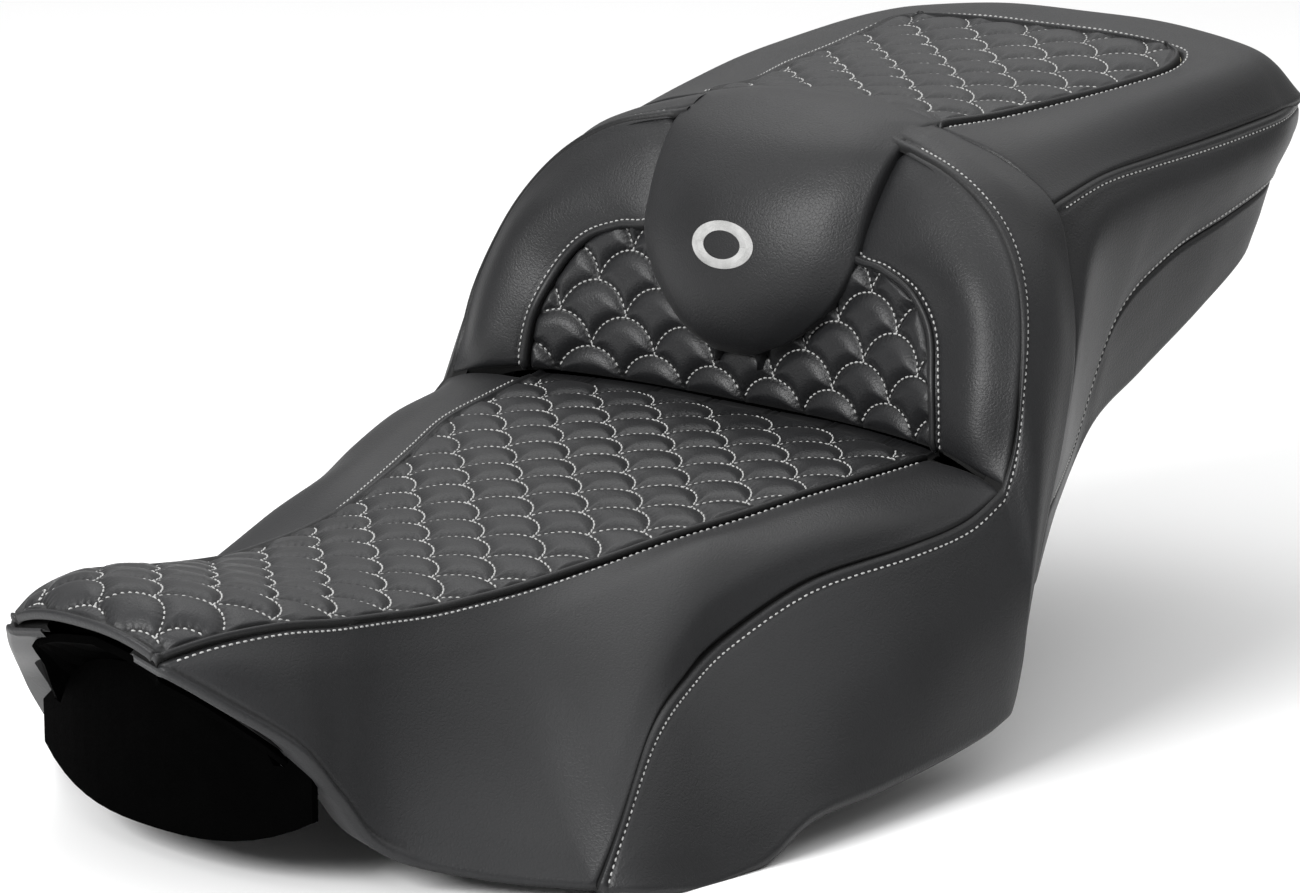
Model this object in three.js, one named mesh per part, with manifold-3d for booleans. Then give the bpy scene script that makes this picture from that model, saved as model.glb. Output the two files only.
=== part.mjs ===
// Two-up touring motorcycle seat: quilted rider bucket, built-in backrest with a hanging lumbar tongue,
// raised passenger pad, side skirts, a moulded pan and its hardware. Millimetres. +X is the rider's left,
// the nose points along -Y and +Z is up. The origin is the middle of the underside of the bounding box.
import * as THREE from "three";
import { mergeVertices } from "three/addons/utils/BufferGeometryUtils.js";
import Module from "manifold-3d";

// ---- Driving dimensions -------------------------------------------------------------------------
const COVER = 3; // vinyl with its scrim foam, sewn panels
const SEAM_GAP = 0.5; // half of the gap between two neighbouring panels
const PAN_WALL = 4; // moulded base
const FOAM_CLEAR = 1; // between foam and pan
const WELT_RADIUS = 2.6; // rolled binding round the backrest insert
const EMBLEM_THICK = 1.2;
const BUMPER_RADIUS = 14;
const STEEL = 3; // bracket and tab plate
const RIVET = { radius: 4.5, head: 2.2 };
const SHIFT = [0, -15.6, -2.2]; // moves the drawing's zero to the middle of the box's underside

// ---- Seam lines on the left half, front to rear, as points of a smooth line ---------------------
const RIDER_CENTRE = [
  [0, -407, 138], [0, -382, 150], [0, -345, 148], [0, -308, 141], [0, -272, 134], [0, -240, 130.5],
  [0, -210, 130], [0, -180, 131.5], [0, -150, 134], [0, -122, 137], [0, -89, 142], [0, -54, 146],
  [0, -10, 152], [0, 36, 157], [0, 84, 160],
];
const RIDER_SEAM = [
  [54, -404, 128], [66, -375, 134], [75, -340, 135], [77, -305, 130], [76, -272, 126], [77, -240, 123],
  [80, -210, 123], [84, -180, 124], [89, -150, 127], [96, -122, 131], [106, -89, 137], [119, -54, 143],
  [132, -17, 150], [141, 26, 154], [149, 69, 158],
];
const SIDE_HIGH = [
  [56, -404.5, 126], [74, -378, 126], [86, -344, 119], [89, -314, 108], [90, -287, 98], [96, -254, 94],
  [103, -221, 95], [110, -192, 104], [117, -160, 115], [124, -128, 127], [130, -94, 137], [142, -55, 143],
  [157, -14, 150], [164, 29, 154], [170, 66, 158],
];
const SIDE_LOW = [
  [57, -405, 124], [78, -381, 115], [96, -350, 100], [100, -325, 81], [108, -302, 63], [125, -270, 55],
  [145, -236, 54], [152, -208, 72], [153, -174, 94], [152, -138, 112], [152, -100, 124], [164, -58, 136],
  [182, -10, 143], [187, 32, 149], [190, 63, 156],
];
const SIDE_EDGE = [
  [58, -405, 122], [80, -385, 104], [105, -357, 80], [112, -337, 52], [126, -321, 26], [162, -291, 15],
  [204, -257, 11], [198, -231, 40], [181, -190, 71], [168, -150, 86], [162, -112, 99], [174, -61, 120],
  [195, -6, 131], [202, 34, 138], [206, 60, 151],
];
const SIDE_CORNERS = [[], [], [], [6]]; // sharp turns of each line across the panel
const SKIRT_SEAM = [
  [204, -257, 11], [198, -231, 40], [181, -190, 71], [168, -150, 86], [162, -112, 99], [174, -61, 120],
  [195, -6, 131], [202, 34, 138], [206, 60, 151], [205, 70, 172], [202, 79, 203], [195, 90, 232],
  [184, 99, 256], [166, 107, 278], [143, 112, 294], [118, 116, 305], [86, 123, 311.5],
];
const SKIRT_MID = [
  [206, -255.5, 10], [212, -235, 23], [208, -198, 36], [204, -160, 45], [204, -120, 61], [212, -68, 74],
  [222, -8, 82], [225, 33, 88], [225, 55, 98], [222, 66, 128], [216, 80, 164], [206, 100, 203],
  [195, 117, 237], [178, 128, 268], [157, 132, 293], [126, 134, 308], [87, 137, 318.5],
];
const SKIRT_EDGE = [
  [209, -254, 9], [224, -238, 8], [229, -205, 1], [234, -165, 5], [237, -130, 21], [238, -75, 23],
  [236, -10, 27], [233, 30, 32], [229, 46, 40], [227, 58, 80], [221, 78, 122], [211, 108, 168],
  [199, 133, 213], [184, 147, 252], [167, 153, 287], [132, 152, 308], [87.5, 151, 321],
];
const SKIRT_CORNERS = [[8], [], []];
const WING_INNER = [
  [149, 69, 161.5], [148.5, 70, 174], [144.5, 73, 196], [134, 84, 222], [117, 89, 240], [94, 91.5, 249],
  [71, 95, 254], [70, 109, 280], [72, 126, 302],
];
const WING_MID = [
  [179, 61, 157], [180, 61, 173], [178, 68, 201], [170, 78, 231], [156, 86, 252], [134, 94, 267],
  [112, 101, 280], [93, 111, 294], [79, 124, 307],
];
const INSERT_CENTRE = [
  [0, 86, 161], [0, 86, 178], [0, 88, 200], [0, 92, 226], [0, 94, 243], [0, 97, 251], [0, 100, 258],
];
const BACK_CENTRE = [
  [0, 86, 161], [0, 86, 178], [0, 88, 200], [0, 92, 226], [0, 95, 243], [0, 99, 253], [0, 104, 264],
  [0, 111, 284],
  [0, 124, 303],
];
const TONGUE_EDGE = [
  [14, 79, 189.8], [40, 81, 200], [66, 86, 223], [79, 90, 248], [81, 97, 271], [82, 105.5, 290],
  [83, 118.5, 308], [84, 137, 318.5], [85, 153, 323],
];
const TONGUE_CENTRE = [
  [0, 80, 188], [0, 70, 201], [0, 66, 224], [0, 68, 249], [0, 74, 271], [0, 85, 291], [0, 103, 311],
  [0, 129, 326], [0, 153, 332],
];
const PILLION_CENTRE = [
  [0, 156, 329], [0, 200, 329], [0, 245, 332], [0, 292, 336], [0, 330, 341], [0, 352, 344], [0, 362, 346],
];
const PILLION_SEAM = [
  [87, 156, 321.5], [92, 200, 321], [102, 245, 325], [109, 292, 329], [113, 330, 334], [108, 350, 340],
  [92, 360, 343],
];
const BORDER_IN = [
  [88, 152, 321.5], [92, 200, 321], [102, 245, 325], [109, 292, 329], [113, 330, 334], [108, 352, 340],
  [92, 361, 343], [46, 363, 346], [0, 363, 346],
];
const BORDER_MID = [
  [132, 152.5, 308], [138, 200, 316], [143, 245, 323], [145, 292, 329], [145, 340, 334], [140, 376, 337],
  [122, 400, 340], [62, 409, 346], [0, 410, 347],
];
const BORDER_OUT = [
  [167, 153.5, 287.5], [166, 200, 297], [167, 245, 301], [167, 292, 304], [166, 335, 307], [162, 380, 310],
  [145, 422, 312], [76, 436, 312], [0, 438, 312],
];
const PILLION_HIP = [
  [199, 133, 214], [180, 178, 252], [175, 232, 272], [174, 285, 281], [172, 330, 287], [166, 374, 291],
  [147, 417, 293], [76, 431, 293], [0, 433, 293],
];
const PILLION_LOWER = [
  [218, 86, 134], [174, 168, 148], [170, 208, 212], [170, 258, 241], [169, 318, 256], [161, 366, 265],
  [140, 404, 270], [74, 415, 272], [0, 417, 272],
];
const PILLION_HEM = [
  [224, 66, 96], [170, 156, 112], [165, 196, 153], [163, 243, 175], [163, 300, 203], [158, 350, 226],
  [138, 380, 240], [74, 392, 246], [0, 394, 247],
];
// Moulded pan, half sections: y, roof height, roof edge x and z, wall top x and z, hem x and z
const PAN = [
  [-396, 128, 28, 124, 42, 119, 47, 114], [-375, 120, 36, 116, 56, 106, 64, 97],
  [-345, 108, 44, 104, 76, 88, 92, 66], [-310, 100, 50, 100, 80, 74, 106, 32],
  [-262, 100, 54, 100, 92, 66, 160, 14], [-205, 100, 60, 94, 126, 66, 210, 8],
  [-150, 100, 68, 97, 142, 80, 218, 16], [-100, 102, 80, 100, 146, 92, 221, 32],
  [-40, 106, 95, 106, 162, 100, 223, 34], [15, 110, 105, 110, 174, 104, 219, 42],
  [50, 118, 110, 118, 182, 112, 210, 80], [98, 168, 108, 166, 176, 156, 188, 134],
  [135, 250, 104, 248, 154, 234, 164, 150], [180, 284, 104, 282, 150, 262, 156, 170],
  [240, 288, 104, 286, 150, 266, 153, 194], [300, 290, 102, 288, 148, 270, 153, 220],
  [345, 290, 96, 288, 138, 272, 144, 242], [378, 290, 84, 288, 114, 274, 118, 258],
];

// ---- Materials ----------------------------------------------------------------------------------
const skin = (name, colour, roughness, metalness = 0) => {
  const material = new THREE.MeshStandardMaterial({ color: colour, roughness, metalness });
  material.name = name;
  return material;
};
const VINYL = skin("vinyl", 0x2b2c2f, 0.5);
const QUILTED = skin("quilted_vinyl", 0x26272a, 0.48);
const THREAD = skin("thread", 0xc9cacc, 0.7);
const WELT = skin("welt", 0x1d1e20, 0.5);
const FOAM = skin("foam", 0xd8cfa8, 0.95);
const GEL = skin("gel", 0x6f93a8, 0.35);
const PLASTIC = skin("pan_plastic", 0x0c0c0d, 0.6);
const RUBBER = skin("rubber", 0x131314, 0.85);
const PLATE = skin("steel_plate", 0x8d8f92, 0.4, 1);

const seat = new THREE.Group();
seat.position.set(...SHIFT);
function add(name, geometry, material) {
  const mesh = new THREE.Mesh(geometry, material);
  mesh.name = name;
  seat.add(mesh);
  return mesh;
}

// ---- Lines and patches --------------------------------------------------------------------------
// Point at t (0 to 1) of a Catmull-Rom line through the points, with a sharp turn at the listed corners.
function along(points, t, corners = []) {
  const last = points.length - 1;
  const i = Math.min(Math.max(Math.floor(t * last), 0), last - 1);
  const f = t * last - i;
  const [b, c] = [points[i], points[i + 1]];
  const sharpStart = i === 0 || corners.includes(i);
  const sharpEnd = i + 1 === last || corners.includes(i + 1);
  const a = sharpStart ? b.map((w, k) => 2 * w - c[k]) : points[i - 1];
  const d = sharpEnd ? c.map((w, k) => 2 * w - b[k]) : points[i + 2];
  return b.map((w, k) => {
    const bend = 2 * a[k] - 5 * w + 4 * c[k] - d[k];
    const twist = 3 * w - a[k] - 3 * c[k] + d[k];
    return 0.5 * (2 * w + (c[k] - a[k]) * f + bend * f * f + twist * f * f * f);
  });
}
// Surface through lines that share their stations: u runs along them, v across them.
const patch = (lines, corners = []) => (u, v) => along(lines.map((line, k) => along(line, u, corners[k])), v);
const mirrored = (surface) => (u, v) => {
  const [x, y, z] = surface(u, v);
  return [-x, y, z];
};
// Both halves of a line that ends on the centre plane.
const wholeLine = (half) => [...half, ...half.slice(0, -1).reverse().map(([x, y, z]) => [-x, y, z])];
// Surface across the whole width from a centre line and an edge line; power shapes the crown.
const crowned = (centre, edge, power) => (u, v) => {
  const side = 2 * v - 1;
  const [middle, rim] = [along(centre, u), along(edge, u)];
  const share = Math.abs(side) ** power;
  return [rim[0] * side, middle[1] + (rim[1] - middle[1]) * share, middle[2] + (rim[2] - middle[2]) * share];
};

const vec = (p) => new THREE.Vector3(...p);
const clamp01 = (t) => Math.min(Math.max(t, 0), 1);
function normalAt(surface, u, v) {
  const step = 1e-3;
  const du = vec(surface(clamp01(u + step), v)).sub(vec(surface(clamp01(u - step), v)));
  const dv = vec(surface(u, clamp01(v + step))).sub(vec(surface(u, clamp01(v - step))));
  return du.cross(dv).normalize();
}
function lengthOf(point, steps = 12) {
  let total = 0;
  for (let i = 0; i < steps; i++) total += vec(point(i / steps)).distanceTo(vec(point((i + 1) / steps)));
  return total;
}

// Closed body between two grids of points with the same rows and columns; top faces out.
function slab(top, bottom) {
  const [rows, cols] = [top.length, top[0].length];
  const at = (layer, i, j) => (layer * rows + i) * cols + j;
  const positions = [...top.flat(2), ...bottom.flat(2)];
  const index = [];
  const quad = (a, b, c, d) => index.push(a, b, c, a, c, d);
  for (let i = 0; i < rows - 1; i++)
    for (let j = 0; j < cols - 1; j++) {
      quad(at(0, i, j), at(0, i + 1, j), at(0, i + 1, j + 1), at(0, i, j + 1));
      quad(at(1, i, j), at(1, i, j + 1), at(1, i + 1, j + 1), at(1, i + 1, j));
    }
  for (let i = 0; i < rows - 1; i++) {
    quad(at(0, i, 0), at(1, i, 0), at(1, i + 1, 0), at(0, i + 1, 0));
    quad(at(0, i, cols - 1), at(0, i + 1, cols - 1), at(1, i + 1, cols - 1), at(1, i, cols - 1));
  }
  for (let j = 0; j < cols - 1; j++) {
    quad(at(0, 0, j), at(0, 0, j + 1), at(1, 0, j + 1), at(1, 0, j));
    quad(at(0, rows - 1, j), at(1, rows - 1, j), at(1, rows - 1, j + 1), at(0, rows - 1, j + 1));
  }
  const geometry = new THREE.BufferGeometry();
  geometry.setAttribute("position", new THREE.Float32BufferAttribute(positions, 3));
  geometry.setIndex(index);
  return geometry;
}

// Sewn panel: the surface with its edges set in by the seam gap, and an inner face set in by the thickness
// too, so that two panels meeting at a corner are mitred. out is 1 where u cross v points out of the seat,
// otherwise -1.
function panel(surface, columns, rows, out, { depth = 0, thick = COVER, gap = SEAM_GAP } = {}) {
  const lengthU = lengthOf((t) => surface(t, 0.5));
  const sheet = (inset, drop) => {
    const grid = [];
    for (let i = 0; i <= columns; i++) {
      const mu = Math.min(inset / lengthU, 0.3);
      const u = mu + (1 - 2 * mu) * (i / columns);
      const mv = Math.min(inset / lengthOf((t) => surface(u, t), 6), 0.3);
      const line = [];
      for (let j = 0; j <= rows; j++) {
        const v = mv + (1 - 2 * mv) * (j / rows);
        const n = normalAt(surface, u, v).multiplyScalar(-out * drop);
        line.push(vec(surface(u, v)).add(n).toArray());
      }
      grid.push(out > 0 ? line : line.reverse());
    }
    return grid;
  };
  return slab(sheet(gap + depth, depth), sheet(gap + depth + thick, depth + thick));
}
function pair(name, surface, columns, rows, out, material, how = {}) {
  add(name + "_left", panel(surface, columns, rows, out, how), material);
  add(name + "_right", panel(mirrored(surface), columns, rows, -out, how), material);
}

// ---- Cover panels -------------------------------------------------------------------------------
const riderTop = crowned(RIDER_CENTRE, RIDER_SEAM, 2.6);
const riderSide = patch([RIDER_SEAM, SIDE_HIGH, SIDE_LOW, SIDE_EDGE], SIDE_CORNERS);
const skirt = patch([SKIRT_SEAM, SKIRT_MID, SKIRT_EDGE], SKIRT_CORNERS);
const wingLines = patch([WING_INNER, WING_MID, SKIRT_SEAM.slice(8)]);
const WING_START = 0.01; // the wing's foot stays clear of the side panel
const wing = (u, v) => wingLines(WING_START + (1 - WING_START) * u, v);
const insert = crowned(INSERT_CENTRE, WING_INNER.slice(0, 7), 3);
const tongue = crowned(TONGUE_CENTRE, TONGUE_EDGE, 2.4);
const pillionTop = crowned(PILLION_CENTRE, PILLION_SEAM, 2.4);
const border = patch([wholeLine(BORDER_IN), wholeLine(BORDER_MID), wholeLine(BORDER_OUT)]);
const REAR_START = 6; // station of the rear corner seam
const beforeRear = (line) => line.slice(0, REAR_START + 1);
const pillionSide = patch([BORDER_OUT, PILLION_HIP, PILLION_LOWER].map(beforeRear));
const pillionSkirt = patch([PILLION_LOWER, PILLION_HEM].map(beforeRear));
const rear = patch(
  [BORDER_OUT, PILLION_HIP, PILLION_LOWER, PILLION_HEM].map((line) => wholeLine(line.slice(REAR_START))),
);

add("rider_quilted_panel", panel(riderTop, 14, 8, -1), QUILTED);
pair("rider_side_panel", riderSide, 14, 4, -1, VINYL);
pair("lower_skirt", skirt, 18, 4, -1, VINYL);
pair("backrest_wing", wing, 9, 3, -1, VINYL);
add("backrest_quilted_insert", panel(insert, 7, 10, -1, { gap: 5 * SEAM_GAP }), QUILTED);
add("lumbar_tongue_pad", panel(tongue, 10, 8, -1), VINYL);
add("pillion_quilted_panel", panel(pillionTop, 8, 8, -1), QUILTED);
add("pillion_top_border", panel(border, 24, 3, -1), VINYL);
pair("pillion_side_panel", pillionSide, 8, 3, -1, VINYL, { gap: 2.8 * SEAM_GAP });
pair("pillion_lower_skirt", pillionSkirt, 8, 2, -1, VINYL);
add("rear_panel", panel(rear, 8, 4, -1, { gap: 2 * SEAM_GAP }), VINYL);

// ---- Booleans -----------------------------------------------------------------------------------
const wasm = await Module();
wasm.setup();
function solid(geometry) {
  const bare = new THREE.BufferGeometry();
  bare.setAttribute("position", geometry.getAttribute("position"));
  if (geometry.index) bare.setIndex(geometry.index);
  const merged = mergeVertices(bare, 1e-4);
  return new wasm.Manifold(
    new wasm.Mesh({
      numProp: 3,
      vertProperties: merged.attributes.position.array,
      triVerts: new Uint32Array(merged.index.array),
    }),
  );
}
// The largest body of a boolean's result, as a geometry.
function geometryOf(made) {
  const body = made.decompose().sort((a, b) => b.volume() - a.volume())[0];
  const mesh = body.getMesh();
  const geometry = new THREE.BufferGeometry();
  geometry.setAttribute("position", new THREE.Float32BufferAttribute(mesh.vertProperties, 3));
  geometry.setIndex(new THREE.BufferAttribute(mesh.triVerts, 1));
  return geometry;
}
const cylinder = (radius, height, x, y, z, sides = 20) =>
  new THREE.CylinderGeometry(radius, radius, height, sides).rotateX(Math.PI / 2).translate(x, y, z);

// Grid of points on a surface, moved along its normal by lift and then by shift.
function gridOf(surface, [u0, u1], [v0, v1], columns, rows, out, lift, shift = [0, 0, 0]) {
  const grid = [];
  for (let i = 0; i <= columns; i++) {
    const line = [];
    for (let j = 0; j <= rows; j++) {
      const [u, v] = [u0 + (u1 - u0) * (i / columns), v0 + (v1 - v0) * (j / rows)];
      const n = normalAt(surface, u, v).multiplyScalar(out * lift);
      line.push(vec(surface(u, v)).add(n).add(vec(shift)).toArray());
    }
    grid.push(out > 0 ? line : line.reverse());
  }
  return grid;
}
// Full-width surface from half lines that start on the centre plane.
const bothSides = (lines) => {
  const half = patch(lines);
  return (u, v) => {
    const [x, y, z] = half(u, Math.abs(2 * v - 1));
    return [v < 0.5 ? -x : x, y, z];
  };
};

// ---- Pan ----------------------------------------------------------------------------------------
const panLines = [0, 1, 2, 3].map((k) =>
  PAN.map((row) => (k === 0 ? [0, row[0], row[1]] : [row[2 * k], row[0], row[2 * k + 1]])),
);
const pan = bothSides(panLines);
const ALL = [0, 1];
const PAN_GRID = [22, 16];
const panTop = gridOf(pan, ALL, ALL, ...PAN_GRID, -1, 0);
const panUnder = gridOf(pan, ALL, ALL, ...PAN_GRID, -1, -PAN_WALL);
const panAbove = solid(slab(
  gridOf(pan, ALL, ALL, ...PAN_GRID, -1, -PAN_WALL - 0.4, [0, 0, 300]),
  gridOf(pan, ALL, ALL, ...PAN_GRID, -1, -PAN_WALL - 0.4),
));
// The space below the pan and its rim, carried out past the rim on all sides.
const RIM = 45;
const rimLines = [...panLines, panLines[3].map(([x, y, z]) => [x + RIM, y, z])].map((line) => [
  [line[0][0], line[0][1] - RIM, line[0][2]], ...line, [line.at(-1)[0], line.at(-1)[1] + RIM, line.at(-1)[2]],
]);
const panAndRim = bothSides(rimLines);
const panBelow = solid(slab(
  gridOf(panAndRim, ALL, ALL, 24, 20, -1, 2 * FOAM_CLEAR),
  gridOf(panAndRim, ALL, ALL, 24, 20, -1, 2 * FOAM_CLEAR, [0, 0, -300]),
));
const panItself = solid(slab(
  gridOf(pan, ALL, ALL, ...PAN_GRID, -1, FOAM_CLEAR), gridOf(pan, ALL, ALL, ...PAN_GRID, -1, -2 * PAN_WALL),
));
const FRONT_RIVETS = [[-22, -262], [22, -262]];
const REAR_RIVETS = [[-12, 342], [12, 342]];
const FRONT_PLATE_Z = 94.6;
const REAR_PLATE_Z = 285.2;
const rivetHoles = [...FRONT_RIVETS, ...REAR_RIVETS].map(([x, y]) =>
  solid(cylinder(RIVET.radius + 0.3, 400, x, y, 180)),
);
let panSolid = solid(slab(panTop, panUnder));
for (const hole of rivetHoles) panSolid = panSolid.subtract(hole);
add("seat_pan", geometryOf(panSolid), PLASTIC);

// ---- Foam and gel -------------------------------------------------------------------------------
const FOAM_DROP = COVER + 1.6;
// A thick skin round a cover panel, which the foam below it stays clear of.
const skinOf = (surface, columns, rows, out = -1) =>
  solid(slab(
    gridOf(surface, ALL, ALL, columns, rows, out, 10),
    gridOf(surface, ALL, ALL, columns, rows, out, -COVER - 1),
  ));
const bothSkins = (surface, columns, rows) => [
  skinOf(surface, columns, rows), skinOf(mirrored(surface), columns, rows, 1),
];
// Foam block: a surface let down by the cover, carried through by reach, less everything it lies against.
function foam(name, surface, [us, vs], columns, rows, reach, against) {
  const block = solid(slab(
    gridOf(surface, us, vs, columns, rows, -1, -FOAM_DROP),
    gridOf(surface, us, vs, columns, rows, -1, -FOAM_DROP, reach),
  ));
  add(name, geometryOf(against.reduce((made, other) => made.subtract(other), block)), FOAM);
}
const riderWide = bothSides([RIDER_CENTRE, RIDER_SEAM, SIDE_HIGH, SIDE_LOW]);
const backWide = bothSides([BACK_CENTRE, WING_INNER, WING_MID, SKIRT_SEAM.slice(8)]);
const pillionWide = bothSides([
  PILLION_CENTRE.map((point, i) => [0, BORDER_IN[i][1], point[2]]),
  ...[BORDER_IN, BORDER_MID, BORDER_OUT].map((line) => line.slice(0, PILLION_CENTRE.length)),
]);
const GEL_THICK = 8;
const GEL_FIT = 3; // room round the gel pad in its pocket
const [GEL_U, GEL_V, GEL_GRID] = [[0.62, 0.9], [0.31, 0.69], [6, 8]];
const wider = ([from, to]) => [from - 0.02, to + 0.02];
const gelPocket = solid(slab(
  gridOf(riderWide, wider(GEL_U), wider(GEL_V), ...GEL_GRID, -1, 0),
  gridOf(riderWide, wider(GEL_U), wider(GEL_V), ...GEL_GRID, -1, -FOAM_DROP - GEL_THICK - GEL_FIT),
));
foam("rider_foam", riderWide, [[0.07, 0.93], [0.06, 0.94]], 14, 12, [0, 0, -70],
  [panBelow, panItself, gelPocket, ...bothSkins(riderSide, 14, 4)]);
add("rider_gel_pad", slab(
  gridOf(riderWide, GEL_U, GEL_V, ...GEL_GRID, -1, -FOAM_DROP),
  gridOf(riderWide, GEL_U, GEL_V, ...GEL_GRID, -1, -FOAM_DROP - GEL_THICK),
), GEL);
foam("backrest_foam", backWide, [[0.05, 0.95], [0.05, 0.95]], 10, 12, [0, 30, 0],
  [panBelow, panItself, skinOf(insert, 7, 10), ...bothSkins(wing, 9, 3), ...bothSkins(skirt, 18, 4)]);
foam("pillion_foam", pillionWide, [[0.04, 0.97], [0.04, 0.96]], 10, 12, [0, 0, -60],
  [panBelow, panItself, skinOf(pillionTop, 8, 8), skinOf(border, 24, 3), skinOf(rear, 8, 4),
    ...bothSkins(pillionSide, 8, 3), ...bothSkins(pillionSkirt, 8, 2)]);
const behindTongue = solid(slab(
  gridOf(backWide, ALL, ALL, 10, 12, -1, 1),
  gridOf(backWide, ALL, ALL, 10, 12, -1, 1, [0, 120, 0]),
));
foam("tongue_foam", tongue, [[0.04, 0.9], [0.05, 0.95]], 8, 8, [0, 17, -12],
  [behindTongue, skinOf(insert, 7, 10), skinOf(border, 24, 3)]);

// ---- Binding round the backrest insert ----------------------------------------------------------
// Closed round cord along a line.
function cord(point, steps, radius, sides) {
  const positions = [];
  const index = [];
  for (let i = 0; i <= steps; i++) {
    const [a, b] = [vec(point(Math.max(i - 0.5, 0) / steps)), vec(point(Math.min(i + 0.5, steps) / steps))];
    const ahead = b.sub(a).normalize();
    const across = new THREE.Vector3(0, 1, 0).cross(ahead).normalize();
    const up = ahead.clone().cross(across);
    for (let k = 0; k < sides; k++) {
      const turn = (k / sides) * 2 * Math.PI;
      const at = vec(point(i / steps))
        .addScaledVector(across, radius * Math.cos(turn)).addScaledVector(up, radius * Math.sin(turn));
      positions.push(...at.toArray());
      const [c, d] = [i * sides + k, i * sides + ((k + 1) % sides)];
      if (i < steps) index.push(c, d, c + sides, d, d + sides, c + sides);
    }
  }
  for (let k = 1; k < sides - 1; k++) {
    index.push(0, k + 1, k);
    index.push(steps * sides, steps * sides + k, steps * sides + k + 1);
  }
  const geometry = new THREE.BufferGeometry();
  geometry.setAttribute("position", new THREE.Float32BufferAttribute(positions, 3));
  geometry.setIndex(index);
  return geometry;
}
const BINDING_LIFT = 1.5; // from the seam to the underside of the binding
for (const [side, sign] of [["left", 1], ["right", -1]]) {
  const seam = (t) => {
    const at = 0.02 + 0.88 * t;
    const n = normalAt(wing, at * 0.375, 0).add(normalAt(insert, at, 1)).normalize();
    const foot = vec(along(WING_INNER.slice(0, 7), at));
    const [x, y, z] = foot.addScaledVector(n, -WELT_RADIUS - BINDING_LIFT).toArray();
    return [sign * x, y, z];
  };
  add("insert_binding_" + side, cord(seam, 20, WELT_RADIUS, 8), WELT);
}

// ---- Emblem, bracket, tab, rivets and bumpers ---------------------------------------------------
const EMBLEM_SPAN = [[0.36, 0.47], [0.36, 0.64]];
add("emblem_patch", slab(
  gridOf(tongue, ...EMBLEM_SPAN, 4, 6, -1, 0.3 + EMBLEM_THICK),
  gridOf(tongue, ...EMBLEM_SPAN, 4, 6, -1, 0.3),
), THREAD);

// Black closing piece under the nose: it hangs from the pan as a rounded keel.
const APRON = { halfWidth: 99, front: -362, sweep: 16, keel: 22, rise: 20, top: 140, thick: 4 };
const apronAt = (x, z, y = 0) => [x, APRON.front + y + APRON.sweep * (x / APRON.halfWidth) ** 2, z];
const apronSheet = (y) => {
  const grid = [];
  for (let i = 0; i <= 18; i++) {
    const x = APRON.halfWidth * (i / 9 - 1);
    const foot = APRON.keel + APRON.rise * Math.abs(x / APRON.halfWidth) ** 3;
    grid.push([0, 1, 2, 3].map((k) => apronAt(x, foot + (APRON.top - foot) * (k / 3), y)));
  }
  return grid;
};
const apron = solid(slab(apronSheet(0), apronSheet(APRON.thick)));
let apronBody = apron.intersect(panBelow).subtract(panItself);
for (const skinned of bothSkins(riderSide, 14, 4)) apronBody = apronBody.subtract(skinned);
add("nose_apron", geometryOf(apronBody), PLASTIC);

function plate(profile, width) {
  const shape = new THREE.Shape(profile.map(([y, z]) => new THREE.Vector2(y, z)));
  const geometry = new THREE.ExtrudeGeometry(shape, { depth: width, bevelEnabled: false });
  return geometry.translate(0, 0, -width / 2).rotateY(Math.PI / 2).rotateX(Math.PI / 2);
}
const strip = (path, thick) => {
  const upper = path.map(([y, z]) => [y, z]);
  const lower = path.map(([y, z]) => [y, z - thick]).reverse();
  return [...upper, ...lower];
};
const frontPlate = strip([[-352, 84], [-308, 84], [-296, FRONT_PLATE_Z], [-236, FRONT_PLATE_Z]], STEEL);
const rearPlate = strip([[322, REAR_PLATE_Z], [362, REAR_PLATE_Z], [384, 246], [410, 246]], STEEL);
const cut = (geometry, holes) =>
  geometryOf(holes.reduce((made, hole) => made.subtract(hole), solid(geometry)));
add("front_mount_bracket", cut(plate(frontPlate, 72), rivetHoles), PLATE);
const screwHole = solid(cylinder(4, 60, 0, 398, 246));
add("rear_mounting_tab", cut(plate(rearPlate, 44), [...rivetHoles, screwHole]), PLATE);

function rivet(x, y, plateTop) {
  const under = plateTop - STEEL - 0.3;
  const [r, h] = [RIVET.radius, RIVET.head];
  const shank = STEEL + 4;
  const profile = [[0, -h], [r * 1.2, -h], [r * 1.8, -0.4 * h], [r * 1.8, 0], [r, 0], [r, shank], [0, shank]];
  const geometry = new THREE.LatheGeometry(profile.map(([a, b]) => new THREE.Vector2(a, b)), 16);
  return geometry.rotateX(Math.PI / 2).translate(x, y, under);
}
FRONT_RIVETS.forEach(([x, y], i) => add("front_bracket_rivet_" + (i + 1), rivet(x, y, FRONT_PLATE_Z), PLATE));
REAR_RIVETS.forEach(([x, y], i) => add("rear_tab_rivet_" + (i + 1), rivet(x, y, REAR_PLATE_Z), PLATE));

const BUMPER_PLACES = [[62, -170, 66], [84, 0, 76], [72, 250, 256]];
BUMPER_PLACES.forEach(([x, y, z], i) =>
  [x, -x].forEach((side, k) => {
    const post = solid(cylinder(BUMPER_RADIUS, 60, side, y, z + 30, 16));
    add("rubber_bumper_" + (2 * i + k + 1), geometryOf(post.subtract(panAbove)), RUBBER);
  }),
);

export default seat;
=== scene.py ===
"""Looks of a two-up touring motorcycle seat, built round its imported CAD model.

Every sewn panel of the cover is a fine grid on the same seam lines as the CAD, with its relief added along
the normals: puffed towards the middle, rolled into the seams, quilted in fish scales. Stitches, piping and the
mark on the tongue pad are real geometry. Lengths are millimetres until a mesh is made, then metres.
"""

import math

import bpy
import numpy as np
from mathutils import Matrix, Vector
from mathutils.bvhtree import BVHTree


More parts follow.
